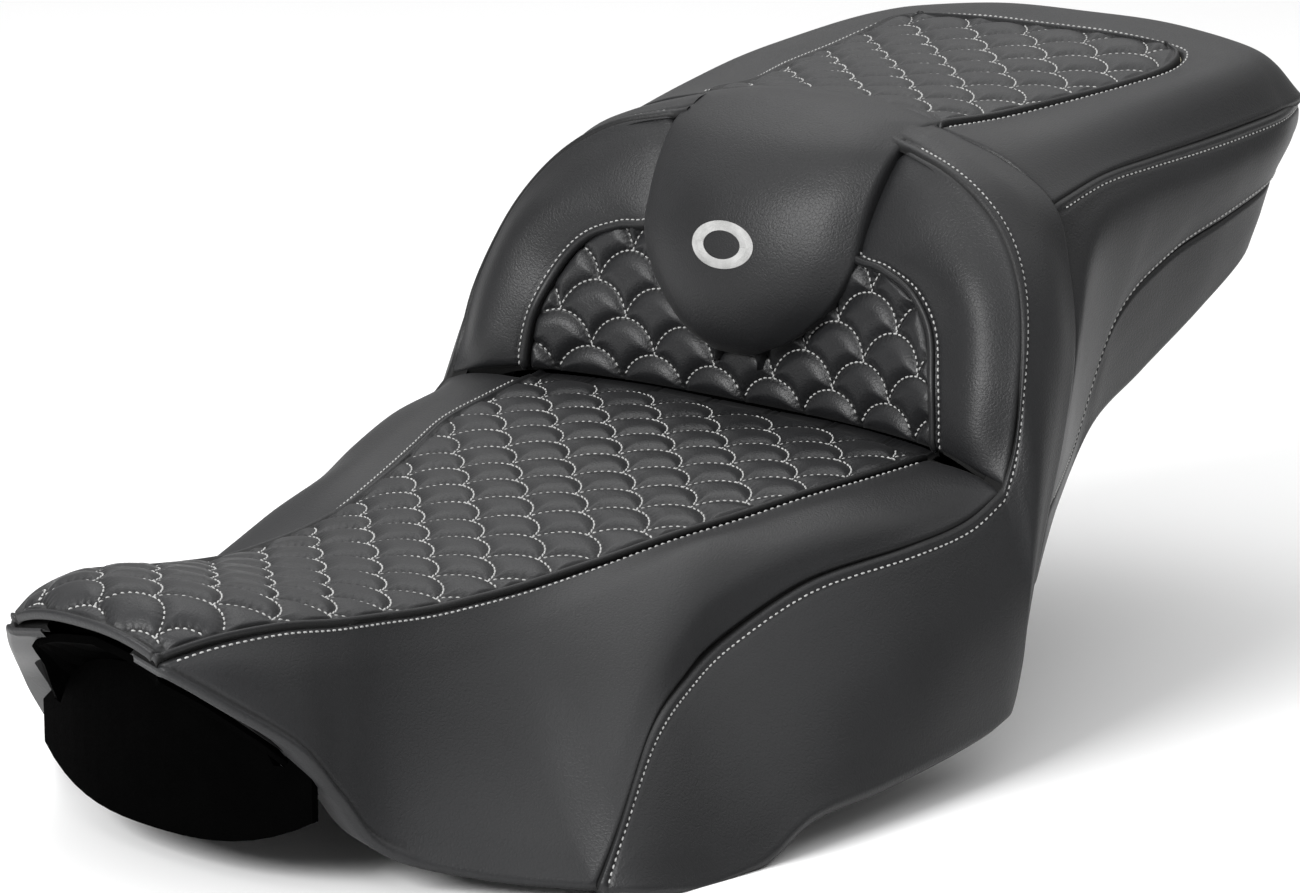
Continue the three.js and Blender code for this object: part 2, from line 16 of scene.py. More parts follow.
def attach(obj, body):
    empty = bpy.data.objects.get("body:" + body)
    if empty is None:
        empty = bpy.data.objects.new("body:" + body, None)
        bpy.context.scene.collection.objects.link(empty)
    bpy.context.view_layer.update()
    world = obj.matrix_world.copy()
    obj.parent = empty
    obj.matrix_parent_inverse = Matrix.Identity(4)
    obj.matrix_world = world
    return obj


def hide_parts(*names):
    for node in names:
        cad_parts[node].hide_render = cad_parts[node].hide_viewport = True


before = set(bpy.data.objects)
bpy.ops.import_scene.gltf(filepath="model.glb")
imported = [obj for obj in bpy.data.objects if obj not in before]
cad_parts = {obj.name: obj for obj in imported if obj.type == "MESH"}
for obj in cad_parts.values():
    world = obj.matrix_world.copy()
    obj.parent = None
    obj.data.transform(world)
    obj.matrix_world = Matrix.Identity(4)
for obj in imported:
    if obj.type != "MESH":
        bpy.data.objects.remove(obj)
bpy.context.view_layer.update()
SHIFT = np.array([0, -15.6, -2.2])  # from the drawing's zero to the CAD frame's

# ---- Seam lines of the left half, front to rear --------------------------------------------------
# The CAD's own stations: x out from the centre plane, y to the rear, z up, from the drawing's zero.
RIDER_CENTRE = [
    (0, -407, 138), (0, -382, 150), (0, -345, 148), (0, -308, 141), (0, -272, 134), (0, -240, 130.5),
    (0, -210, 130), (0, -180, 131.5), (0, -150, 134), (0, -122, 137), (0, -89, 142), (0, -54, 146),
    (0, -10, 152), (0, 36, 157), (0, 84, 160),
]
RIDER_SEAM = [
    (54, -404, 128), (66, -375, 134), (75, -340, 135), (77, -305, 130), (76, -272, 126), (77, -240, 123),
    (80, -210, 123), (84, -180, 124), (89, -150, 127), (96, -122, 131), (106, -89, 137), (119, -54, 143),
    (132, -17, 150), (141, 26, 154), (149, 69, 158),
]
SIDE_HIGH = [
    (56, -404.5, 126), (74, -378, 126), (86, -344, 119), (89, -314, 108), (90, -287, 98), (96, -254, 94),
    (103, -221, 95), (110, -192, 104), (117, -160, 115), (124, -128, 127), (130, -94, 137),
    (142, -55, 143), (157, -14, 150), (164, 29, 154), (170, 66, 158),
]
SIDE_LOW = [
    (57, -405, 124), (78, -381, 115), (96, -350, 100), (100, -325, 81), (108, -302, 63), (125, -270, 55),
    (145, -236, 54), (152, -208, 72), (153, -174, 94), (152, -138, 112), (152, -100, 124), (164, -58, 136),
    (182, -10, 143), (187, 32, 149), (190, 63, 156),
]
SIDE_EDGE = [
    (58, -405, 122), (80, -385, 104), (105, -357, 80), (112, -337, 52), (126, -321, 26), (162, -291, 15),
    (204, -257, 11), (198, -231, 40), (181, -190, 71), (168, -150, 86), (162, -112, 99), (174, -61, 120),
    (195, -6, 131), (202, 34, 138), (206, 60, 151),
]
SKIRT_SEAM = [
    (204, -257, 11), (198, -231, 40), (181, -190, 71), (168, -150, 86), (162, -112, 99), (174, -61, 120),
    (195, -6, 131), (202, 34, 138), (206, 60, 151), (205, 70, 172), (202, 79, 203), (195, 90, 232),
    (184, 99, 256), (166, 107, 278), (143, 112, 294), (118, 116, 305), (86, 123, 311.5),
]
SKIRT_MID = [
    (206, -255.5, 10), (212, -235, 23), (208, -198, 36), (204, -160, 45), (204, -120, 61), (212, -68, 74),
    (222, -8, 82), (225, 33, 88), (225, 55, 98), (222, 66, 128), (216, 80, 164), (206, 100, 203),
    (195, 117, 237), (178, 128, 268), (157, 132, 293), (126, 134, 308), (87, 137, 318.5),
]
SKIRT_EDGE = [
    (209, -254, 9), (224, -238, 8), (229, -205, 1), (234, -165, 5), (237, -130, 21), (238, -75, 23),
    (236, -10, 27), (233, 30, 32), (229, 46, 40), (227, 58, 80), (221, 78, 122), (211, 108, 168),
    (199, 133, 213), (184, 147, 252), (167, 153, 287), (132, 152, 308), (87.5, 151, 321),
]
WING_INNER = [
    (149, 69, 161.5), (148.5, 70, 174), (144.5, 73, 196), (134, 84, 222), (117, 89, 240), (94, 91.5, 249),
    (71, 95, 254), (70, 109, 280), (72, 126, 302),
]
WING_MID = [
    (179, 61, 157), (180, 61, 173), (178, 68, 201), (170, 78, 231), (156, 86, 252), (134, 94, 267),
    (112, 101, 280), (93, 111, 294), (79, 124, 307),
]
INSERT_CENTRE = [
    (0, 86, 161), (0, 86, 178), (0, 88, 200), (0, 92, 226), (0, 94, 243), (0, 97, 251), (0, 100, 258),
]
TONGUE_EDGE = [
    (14, 79, 189.8), (40, 81, 200), (66, 86, 223), (79, 90, 248), (81, 97, 271), (82, 105.5, 290),
    (83, 118.5, 308), (84, 137, 318.5), (85, 153, 323),
]
TONGUE_CENTRE = [
    (0, 80, 188), (0, 70, 201), (0, 66, 224), (0, 68, 249), (0, 74, 271), (0, 85, 291), (0, 103, 311),
    (0, 129, 326), (0, 153, 332),
]
PILLION_CENTRE = [
    (0, 156, 329), (0, 200, 329), (0, 245, 332), (0, 292, 336), (0, 330, 341), (0, 352, 344),
    (0, 362, 346),
]
PILLION_SEAM = [
    (87, 156, 321.5), (92, 200, 321), (102, 245, 325), (109, 292, 329), (113, 330, 334), (108, 350, 340),
    (92, 360, 343),
]
BORDER_IN = [
    (88, 152, 321.5), (92, 200, 321), (102, 245, 325), (109, 292, 329), (113, 330, 334), (108, 352, 340),
    (92, 361, 343), (46, 363, 346), (0, 363, 346),
]
BORDER_MID = [
    (132, 152.5, 308), (138, 200, 316), (143, 245, 323), (145, 292, 329), (145, 340, 334), (140, 376, 337),
    (122, 400, 340), (62, 409, 346), (0, 410, 347),
]
BORDER_OUT = [
    (167, 153.5, 287.5), (166, 200, 297), (167, 245, 301), (167, 292, 304), (166, 335, 307),
    (162, 380, 310), (145, 422, 312), (76, 436, 312), (0, 438, 312),
]
PILLION_HIP = [
    (199, 133, 214), (180, 178, 252), (175, 232, 272), (174, 285, 281), (172, 330, 287), (166, 374, 291),
    (147, 417, 293), (76, 431, 293), (0, 433, 293),
]
PILLION_LOWER = [
    (218, 86, 134), (174, 168, 148), (170, 208, 212), (170, 258, 241), (169, 318, 256), (161, 366, 265),
    (140, 404, 270), (74, 415, 272), (0, 417, 272),
]
PILLION_HEM = [
    (224, 66, 96), (170, 156, 112), (165, 196, 153), (163, 243, 175), (163, 300, 203), (158, 350, 226),
    (138, 380, 240), (74, 392, 246), (0, 394, 247),
]


# ---- Lines and surfaces --------------------------------------------------------------------------
def along(points, t, corners=()):
    """Points at t (0 to 1) of a Catmull-Rom line, with a sharp turn at the listed corners. points may hold
    arrays."""
    points = np.asarray(points, float)
    t = np.atleast_1d(np.asarray(t, float))
    last = len(points) - 1
    i = np.clip(np.floor(t * last).astype(int), 0, last - 1)
    f = (t * last - i).reshape((-1,) + (1,) * (points.ndim - 1))
    b, c = points[i], points[i + 1]
    sharp = np.zeros(last + 1, bool)
    sharp[[0, last, *corners]] = True
    shape = (-1,) + (1,) * (points.ndim - 1)
    a = np.where(sharp[i].reshape(shape), 2 * b - c, points[np.maximum(i - 1, 0)])
    d = np.where(sharp[i + 1].reshape(shape), 2 * c - b, points[np.minimum(i + 2, last)])
    bend, twist = 2 * a - 5 * b + 4 * c - d, 3 * b - a - 3 * c + d
    return 0.5 * (2 * b + (c - a) * f + bend * f**2 + twist * f**3)


def patch(lines, corners=None):
    """Surface through lines that share their stations: u runs along them, v across them. corners maps the
    number of a line to its sharp turns."""

    def surface(u, v):
        made = [along(line, u, (corners or {}).get(k, ())) for k, line in enumerate(lines)]
        return along(np.stack(made), v).transpose(1, 0, 2)

    return surface


def crowned(centre, edge, power):
    """Surface across the whole width from a centre line and an edge line."""

    def surface(u, v):
        middle, rim = along(centre, u)[:, None], along(edge, u)[:, None]
        side = (2 * np.asarray(v) - 1)[None, :, None]
        made = middle + (rim - middle) * np.abs(side) ** power
        made[..., 0] = (rim * side)[..., 0]
        return made

    return surface


def mirrored(surface):
    return lambda u, v: surface(u, v) * np.array([-1, 1, 1])


def whole(half):
    """Both halves of a line that ends on the centre plane."""
    return list(half) + [(-x, y, z) for x, y, z in reversed(half[:-1])]


def normals_of(grid, out):
    n = np.cross(np.gradient(grid, axis=0), np.gradient(grid, axis=1)) * out
    length = np.linalg.norm(n, axis=2, keepdims=True)
    return n / np.maximum(length, 1e-9)


def run(grid, axis):
    """Distance along the grid from its first line, in that direction."""
    step = np.linalg.norm(np.diff(grid, axis=axis), axis=2)
    pad = [(0, 0), (0, 0)]
    pad[axis] = (1, 0)
    return np.cumsum(np.pad(step, pad), axis=axis)


def smooth(x, low, high):
    t = np.clip((x - low) / (high - low), 0, 1)
    return t * t * (3 - 2 * t)


WAVES = 7


def ripple(grid, seed, wave, height):
    """Gentle unevenness of a hand-stretched cover: a few sine waves in fixed directions."""
    rng = np.random.default_rng(seed)
    total = 0
    for _ in range(WAVES):
        way = rng.normal(size=3)
        way *= 2 * math.pi / (wave * rng.uniform(0.6, 1.8) * np.linalg.norm(way))
        total = total + np.sin(grid @ way + rng.uniform(0, 6.3))
    return total * height / WAVES


# ---- Fish-scale quilting -------------------------------------------------------------------------
PITCH = 44.0  # across the seat
RISE = 19.1  # from one row to the next, which is a scale's height too
RADIUS = ((PITCH / 2) ** 2 + RISE**2) / (2 * RISE)
DROP = RADIUS - RISE  # from a row's line down to its arcs' centres
SWEEP = math.acos(DROP / RADIUS)  # an arc's half angle
FAR = 1e9


class Scales:
    """Rows of arcs: a is across, b points the way the scales do. first is b of an even row."""

    def __init__(self, first, step, rows):
        self.first, self.step, self.rows = first, step, rows

    def centre(self, row):
        return self.first + row * self.step - DROP

    def offset(self, row):
        return PITCH / 2 if row % 2 == 0 else 0.0

    def distance(self, a, b):
        """Distance to the nearest arc, and how far along it that is."""
        best, at = np.full(a.shape, FAR), np.zeros(a.shape)
        for row in self.rows:
            across = (a - self.offset(row) + PITCH / 2) % PITCH - PITCH / 2
            up = b - self.centre(row)
            turn = np.arctan2(across, up)
            inside = np.abs(turn) <= SWEEP
            end = np.hypot(np.abs(across) - PITCH / 2, up - DROP)
            d = np.where(inside, np.abs(np.hypot(across, up) - RADIUS), end)
            nearer = d < best
            best, at = np.where(nearer, d, best), np.where(nearer, turn * RADIUS, at)
        return best, at

    def arcs(self, low, high):
        """Each arc between low and high as points (a, b), about a millimetre apart."""
        turns = np.linspace(-SWEEP, SWEEP, int(2 * SWEEP * RADIUS))
        for row in self.rows:
            first = math.floor(low / PITCH) - 1
            for k in range(first, math.ceil(high / PITCH) + 2):
                middle = k * PITCH + self.offset(row)
                top = self.centre(row) + RADIUS * np.cos(turns)
                yield np.stack([middle + RADIUS * np.sin(turns), top], 1)


STITCH = 3.9  # from one stitch to the next
THREAD = 0.52  # thread radius
PUCKER = 0.35  # how much cover bunches up between two stitches
FULL_AT, FULLNESS = 10.5, 2.3  # how far from its stitches a scale is full, and how fast it gets there
SUNK = 0.62  # share of a scale's height that lies below the panel's plain surface
RIDER_SCALES = Scales(first=56.4, step=18.85, rows=range(-26, 3))
BACK_SCALES = Scales(first=159.0, step=19.1, rows=range(-2, 7))
PILLION_SCALES = Scales(first=186.0, step=19.4, rows=range(-3, 11))


def pillow(distance, height):
    """Height over the stitching of foam that fills out away from it."""
    near = np.clip(distance / FULL_AT, 0, 1)
    return height * (1 - (1 - near) ** FULLNESS)


def quilted(scales, axis, height):
    """Relief and painted shade along the stitch lines of a quilted panel, as a function of its grid and the
    distance to its edges. axis says which coordinate the scales point along."""

    def relief(grid, edge):
        d, at = scales.distance(grid[..., 0], grid[..., axis])
        puckers = PUCKER * np.exp(-d / 2.2) * np.cos(2 * math.pi * at / STITCH)
        filled = pillow(np.minimum(d, edge + 1.0), height)
        # the second value is painted shade along the stitch lines
        return filled - SUNK * height - puckers, np.exp(-((d / 1.1) ** 2))

    return relief


# ---- Cover panels --------------------------------------------------------------------------------
HEM, SEAM, CREASE, FOLD, SOFT, TUCKED = "hem", "seam", "crease", "fold", "soft", "tucked"
ROLL = {  # how deep an edge turns in, and over how far
    HEM: (3.2, 4.0), SEAM: (3.0, 3.4), CREASE: (4.0, 6.0),
    FOLD: (1.4, 9.0), SOFT: (0.5, 7.0), TUCKED: (0.0, 1.0),
}
SEAM_SHADE = 1.7  # how far the painted shade in a seam reaches
CHANGE = 0.02  # share of an edge, each way, over which one ending turns into another
BEAD_HEIGHT, BEAD_VALLEY = 1.3, 1.1  # of the roll sewn along an edge, and of the dip behind it
BAND = 6.6  # from a seam to its topstitch
BAND_HEIGHT, BAND_VALLEY = 0.9, 0.7  # of the band between them, and of the dip that the topstitch pulls
BAND_END = 0.015  # share of an edge over which a band rises and dies out
PUFF_REACH, PUFF_SHARE = 26, 0.6  # how far from its seams a smooth panel is full, and how much it sinks there
UNEVEN_WAVE, UNEVEN_HEIGHT = 90, 0.5  # of the cover's slow unevenness
LIP = 11.0  # how far every edge turns in
LOWEST = 0.2 - SHIFT[2]  # nothing hangs below the floor
PROBE = np.linspace(0, 1, 33)  # where a panel is measured before its grid is made
PANELS = {}


def to_mesh(name, points, faces, finish):
    """A mesh object on the seat's one body, from points in the drawing's millimetres."""
    points, faces = np.asarray(points, float).reshape(-1, 3), np.asarray(faces)
    count, sides = faces.shape
    mesh = bpy.data.meshes.new(name)
    mesh.vertices.add(len(points))
    mesh.vertices.foreach_set("co", ((points + SHIFT) / 1000).astype(np.float32).ravel())
    mesh.loops.add(count * sides)
    mesh.loops.foreach_set("vertex_index", faces.astype(np.int32).ravel())
    mesh.polygons.add(count)
    mesh.polygons.foreach_set("loop_start", (np.arange(count) * sides).astype(np.int32))
    mesh.update(calc_edges=True)
    mesh.validate()
    mesh.polygons.foreach_set("use_smooth", np.full(count, True))
    mesh.materials.append(finish)
    made = bpy.data.objects.new(name, mesh)
    bpy.context.scene.collection.objects.link(made)
    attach(made, "root")
    return made


def grid_faces(rows, cols, out):
    i = np.arange((rows - 1) * (cols - 1))
    i = i // (cols - 1) * cols + i % (cols - 1)
    made = np.stack([i, i + cols, i + cols + 1, i + 1], 1)
    return made if out > 0 else made[:, ::-1]


def end_edges(edges, u, away):
    """Relief and painted shade of a panel's edges, and the distance to the nearest one that is sewn or hemmed.
    """
    shape = away["u0"].shape
    height, dark, nearest = np.zeros(shape), np.zeros(shape), np.full(shape, FAR)
    for edge, ending in edges.items():
        # An edge that changes on its way is (ending, station share where it changes, ending after it).
        first, turn, last = ending if isinstance(ending, tuple) else (ending, 2.0, ending)
        late = smooth(u, turn - CHANGE, turn + CHANGE)[:, None] if edge[0] == "v" else 0.0
        for kind, share in ((first, 1.0 - late), (last, late)):
            depth, reach = ROLL[kind]
            near = np.clip(away[edge] / reach, 0, 1)
            height -= share * depth * (1 - np.sqrt(1 - (1 - near) ** 2))
            # seams and creases get painted shade, darkest at the edge where the cover turns in
            if kind in (SEAM, CREASE):
                dark = np.maximum(dark, share * np.exp(-((away[edge] / SEAM_SHADE) ** 2)))
        if first not in (TUCKED, SOFT):
            nearest = np.minimum(nearest, away[edge])
    return height, dark, nearest


def add_beads(height, dark, beads, away):
    """Adds a roll along each edge in beads, with painted shade in the dip behind it, and says what share of the
    quilting is left beside it.
    """
    flat = np.ones(height.shape)
    for edge, width in beads.items():
        d = away[edge]
        roll = BEAD_HEIGHT * np.sqrt(np.clip(1 - (2 * d / width - 1) ** 2, 0, 1)) * (d < width)
        valley = np.exp(-(((d - width - 0.5) / 0.9) ** 2))
        height += roll - BEAD_VALLEY * valley
        # painted shade in the dip behind the roll
        dark = np.maximum(dark, 0.75 * valley)
        flat = flat * smooth(d, width - 0.5, width + 2.5)
    return height, dark, flat


def add_band(height, dark, band, u, away):
    """Adds a raised band along an edge, from one u to another, with a dip that puckers under each topstitch and
    painted shade along that dip.
    """
    edge, start, end = band
    d = away[edge]
    here = (smooth(u, start - BAND_END, start) * (1 - smooth(u, end, end + BAND_END)))[:, None]
    ridge = BAND_HEIGHT * smooth(d, 0.5, 2.2) * (1 - smooth(d, BAND - 2.2, BAND - 0.2))
    valley = BAND_VALLEY * np.exp(-(((d - BAND) / 1.5) ** 2))
    track = away["u0"][:, :1]
    height += here * (ridge - valley * (1 + PUCKER * np.cos(2 * math.pi * track / STITCH)))
    # painted shade along the topstitch's dip
    return height, np.maximum(dark, 0.5 * here * np.exp(-(((d - BAND) / 0.9) ** 2)))


def lipped(points, normal, tuck):
    """The grid with a lip that turns in behind every edge, which closes the gap to the next panel."""
    wide = np.pad(points, ((1, 1), (1, 1), (0, 0)), mode="edge")
    inward = np.pad(normal, ((1, 1), (1, 1), (0, 0)), mode="edge")
    lip = np.ones(wide.shape[:2])
    lip[1:-1, 1:-1] = 0
    wide += lip[..., None] * (-inward * LIP if tuck is None else np.array(tuck, float))
    wide[..., 2] = np.maximum(wide[..., 2], LOWEST)
    return wide


def panel(
    name, node, surface, out, spacing, edges, slot, relief=None, band=None, beads=None, tuck=None, puff=2.0,
    seed=1, fill=0.75,
):
    """One sewn panel. out says which way its grid faces. edges maps u0, u1, v0 and v1 to how that edge ends,
    and band names the v edge with a raised band under a topstitch, as (edge, from u, to u). beads maps an
    edge to the width of the roll sewn along it, and tuck is where the edges turn to behind, if not straight
    in."""
    probe = surface(PROBE, PROBE)
    rows = int(run(probe, 0).max() / spacing) + 2
    cols = int(run(probe, 1).max() / spacing) + 2
    u, v = np.linspace(0, 1, rows), np.linspace(0, 1, cols)
    grid = surface(u, v)
    normal = normals_of(grid, out)
    away = {"u0": run(grid, 0), "v0": run(grid, 1)}
    away["u1"], away["v1"] = away["u0"][-1:] - away["u0"], away["v0"][:, -1:] - away["v0"]
    height, dark, nearest = end_edges(edges, u, away)
    height, dark, flat = add_beads(height, dark, beads or {}, away)
    if relief:
        raised, stitch_shade = relief(grid, nearest)
        height += raised * flat
        # painted shade along the quilting's stitch lines
        dark = np.maximum(dark, stitch_shade * flat * 0.8)
    else:
        fullness = puff * (smooth(nearest, 0, PUFF_REACH) - 1) * PUFF_SHARE
        height += fullness + ripple(grid, seed, UNEVEN_WAVE, UNEVEN_HEIGHT)
    if band:
        height, dark = add_band(height, dark, band, u, away)
    made = grid + normal * height[..., None]
    piece = to_mesh(name, lipped(made, normal, tuck), grid_faces(rows + 2, cols + 2, out), LEATHER[slot])
    # painted shade per point in seams, creases and stitch lines, read by the leather's colour
    shade = piece.data.attributes.new("groove_shade", "FLOAT", "POINT")
    shade.data.foreach_set("value", np.pad(dark, 1, mode="edge").astype(np.float32).ravel())
    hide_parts(node)
    PANELS[name] = {"grid": made, "normal": normals_of(made, out), "away": away, "u": u}


def both(name, surface, *rest, tuck=None, **more):
    """A panel and its mirror image."""
    for side, half, out in (("left", surface, -1), ("right", mirrored(surface), 1)):
        behind = tuck and (-out * tuck[0], *tuck[1:])
        panel(f"{name}_{side}_cover", f"{name}_{side}", half, out, *rest, tuck=behind, **more)


# ---- Stitches and piping -------------------------------------------------------------------------
SIDES = 6  # of a thread's section
CORD_SIDES = 12
STEPS, SPAN, MIDDLE = 8, 5, 2  # points from one stitch to the next, and where on them a stitch ends and peaks
SHORTEST_STITCH = 0.5
SINK = 0.15  # how deep a stitch lies in the cover
THREAD_SHAPE = [  # share along a stitch, then thickness and lift in thread radii
    (0.0, 0.35, -0.5), (0.08, 0.85, 0.1), (0.3, 1.0, 0.6),
    (0.7, 1.0, 0.6), (0.92, 0.85, 0.1), (1.0, 0.35, -0.5),
]
SATIN_LIFT = [-0.2, 0.75, -0.2]  # of an embroidery stitch at its start, middle and end, in thread radii
ABOVE, AHEAD = 600, -100  # where rays that go down or to the rear start
FEWEST = 4  # points in the shortest stretch of quilting that is sewn


def resample(path, normal, step):
    """The path and its normals at equal steps."""
    length = np.concatenate([[0], np.cumsum(np.linalg.norm(np.diff(path, axis=0), axis=1))])
    at = np.arange(0, length[-1], step)
    places, n = (np.stack([np.interp(at, length, line[:, k]) for k in range(3)], 1) for line in (path, normal))
    return places, n / np.linalg.norm(n, axis=1, keepdims=True)


def directions(path):
    ahead = np.gradient(path, axis=0)
    return ahead / np.linalg.norm(ahead, axis=1, keepdims=True)


def circle(sides):
    """Cosines and sines round a section, shaped to go with rings of points."""
    turn = np.arange(sides) * 2 * math.pi / sides
    return np.cos(turn)[None, :, None], np.sin(turn)[None, :, None]


def tube_faces(rings, sides, first=0):
    """Faces between the rings of a tube whose points are numbered from first."""
    start, side = np.arange(rings - 1)[:, None] * sides + first, np.arange(sides)[None]
    i, j = start + side, start + (side + 1) % sides
    return np.stack([i, j, j + sides, i + sides], 2).reshape(-1, 4)


def stitches(paths):
    """Points and faces of every stitch along the paths, each a short thread that dives in at both ends."""
    points, faces = [], []
    cosines, sines = circle(SIDES)
    for path, normal in paths:
        fine, up = resample(path, normal, STITCH / STEPS)
        for first in range(0, len(fine) // STEPS * STEPS, STEPS):
            a, b, middle, n = fine[first], fine[first + SPAN], fine[first + MIDDLE], up[first + MIDDLE]
            size = np.linalg.norm(b - a)
            if size < SHORTEST_STITCH:
                continue
            way = (b - a) / size
            side = np.cross(n, way)
            side /= np.linalg.norm(side)
            n = np.cross(way, side)
            t, thick, lift = np.array(THREAD_SHAPE).T[:, :, None]
            bow = (middle - (a + b) / 2) * (4 * t * (1 - t))
            centres = a + (b - a) * t + bow + n * (THREAD * lift - SINK)
            rings = centres[:, None] + THREAD * thick[:, None] * (cosines * side + sines * n)
            faces.append(tube_faces(len(THREAD_SHAPE), SIDES, len(points) * len(THREAD_SHAPE) * SIDES))
            points.append(rings.reshape(-1, 3))
    return np.concatenate(points), np.concatenate(faces)


def satin(paths, radius):
    """Points and faces of one long embroidery stitch along each path of three points."""
    points, faces = [], []
    cosines, sines = circle(SIDES)
    lift = np.array(SATIN_LIFT)[:, None] * radius
    for k, (path, normal) in enumerate(paths):
        side = np.cross(normal, directions(path))
        rings = (path + normal * lift)[:, None] + radius * (cosines * side[:, None] + sines * normal[:, None])
        points.append(rings.reshape(-1, 3))
        faces.append(tube_faces(len(lift), SIDES, k * len(lift) * SIDES))
    return np.concatenate(points), np.concatenate(faces)


def sew(name, paths):
    piece = to_mesh(name, *stitches(paths), THREAD_FINISH)


def beside(name, edge, distance, start=0.0, end=1.0):
    """Line on a panel at a distance from one of its v edges, with its normals."""
    got = PANELS[name]
    keep = (got["u"] >= start) & (got["u"] <= end)
    path, normal = [], []
    for away, places, n in zip(got["away"][edge][keep], got["grid"][keep], got["normal"][keep]):
        if edge == "v1":
            away, places, n = away[::-1], places[::-1], n[::-1]
        at = np.interp(distance, away, np.arange(len(away)))
        i = min(int(at), len(away) - 2)
        f = at - i
        path.append(places[i] * (1 - f) + places[i + 1] * f)
        normal.append(n[i] * (1 - f) + n[i + 1] * f)
    return np.array(path), np.array(normal)


def tree_of(name):
    """A panel's surface, for rays."""
    grid = PANELS[name]["grid"]
    faces = grid_faces(*grid.shape[:2], 1).tolist()
    return BVHTree.FromPolygons(grid.reshape(-1, 3).tolist(), faces, all_triangles=False)


def quilt_stitches(name, scales, axis, margin):
    """The arcs of a quilted panel, laid on its surface by rays and cut off at its edges."""
    got, tree = PANELS[name], tree_of(name)
    edge = np.minimum.reduce([got["away"][side] for side in ("u0", "u1", "v0", "v1")]).ravel()
    quad = grid_faces(*got["grid"].shape[:2], 1)[:, 0]
    across = got["grid"][..., 0]
    way = Vector((0, 0, -1)) if axis == 1 else Vector((0, 1, 0))
    stretches = []
    for arc in scales.arcs(across.min(), across.max()):
        stretch = []
        for a, b in arc:
            origin = Vector((a, b, ABOVE)) if axis == 1 else Vector((a, AHEAD, b))
            place, n, face, _ = tree.ray_cast(origin, way)
            if place is not None and edge[quad[face]] > margin:
                stretch.append((tuple(place), tuple(n if n.dot(way) < 0 else -n)))
            else:
                stretches.append(stretch)
                stretch = []
        stretches.append(stretch)
    return [np.array(stretch).transpose(1, 0, 2) for stretch in stretches if len(stretch) >= FEWEST]


def cord(name, path, normal, half_width, half_height):
    """Piping: a closed oval section swept along the path."""
    ahead = directions(path)
    side = np.cross(normal, ahead)
    side /= np.linalg.norm(side, axis=1, keepdims=True)
    cosines, sines = circle(CORD_SIDES)
    section = half_width * cosines * side[:, None] + half_height * sines * np.cross(ahead, side)[:, None]
    taper = np.ones(len(path))
    taper[[0, -1]] = 0.05
    rings = path[:, None] + section * taper[:, None, None]
    return to_mesh(name, rings, tube_faces(len(path), CORD_SIDES), BINDING)


# ---- Materials -----------------------------------------------------------------------------------
PAINTED_SEAM_SHADE = (0.002, 0.002, 0.002)  # painted shade deep in a seam
# black of the foam's scrim, also painted shade in the gaps at the hem
SCRIM_AND_SHADE_BLACK = (0.004, 0.004, 0.004)


def new_material(name, roughness):
    made = bpy.data.materials.new(name)
    made.use_nodes = True
    shader = made.node_tree.nodes["Principled BSDF"]
    shader.inputs["Roughness"].default_value = roughness
    return made, made.node_tree.nodes, made.node_tree.links, shader


def add_node(nodes, kind, **values):
    made = nodes.new(kind)
    for key, value in values.items():
        if hasattr(made, key):
            setattr(made, key, value)
        else:
            made.inputs[key.replace("_", " ")].default_value = value
    return made


def blend_colours(nodes, links, factor, first, second):
    mix = nodes.new("ShaderNodeMix")
    mix.data_type = "RGBA"
    links.new(factor, mix.inputs[0])
    for k, value in ((6, first), (7, second)):
        if isinstance(value, tuple):
            mix.inputs[k].default_value = (*value, 1)
        else:
            links.new(value, mix.inputs[k])
    return mix.outputs[2]


def scaled(nodes, links, value, low, high, to_low, to_high):
    """The value with low to high stretched to to_low to to_high, and clamped there."""
    made = nodes.new("ShaderNodeMapRange")
    links.new(value, made.inputs[0])
    for k, number in enumerate((low, high, to_low, to_high), 1):
        made.inputs[k].default_value = number
    return made.outputs[0]


